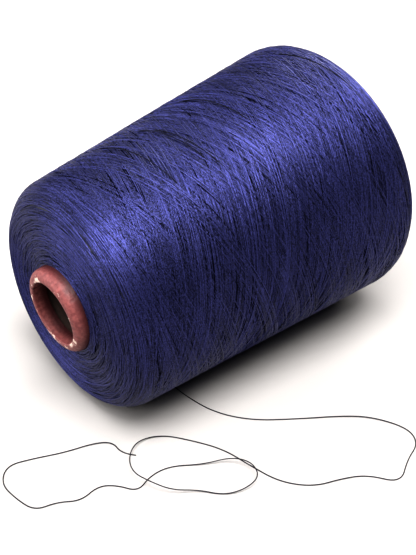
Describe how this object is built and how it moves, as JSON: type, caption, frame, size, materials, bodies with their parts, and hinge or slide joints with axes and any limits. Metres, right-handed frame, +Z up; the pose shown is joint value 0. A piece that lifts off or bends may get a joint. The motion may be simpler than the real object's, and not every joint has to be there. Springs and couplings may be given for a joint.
{
  "type": "cone of sewing thread",
  "caption": "Cross-wound thread on a tapered paper cone, lying on its side, with the thread's loose end in curves on the surface in front of it.",
  "frame": {"origin": "on the surface that the cone lies on, under the middle of the cone's length, in the middle of its width; the loose end isn't counted", "axes": "+Z up; +X along the cone's length from the nose, the small end, to the base, the large end; +Y across, away from the side where the loose end lies"},
  "size_m": [0.2169, 0.1833, 0.1189],
  "materials": {
    "thread": "soft sheen",
    "cone_board": "matt",
    "cone_wrap": "calendered, slightly glossy",
    "cone_liner": "matt"
  },
  "bodies": {
    "root": {"cone_board": "cone_board", "cone_wrap": "cone_wrap", "cone_liner": "cone_liner", "thread_winding": "thread", "loose_thread": "thread"}
  },
  "joints": []
}
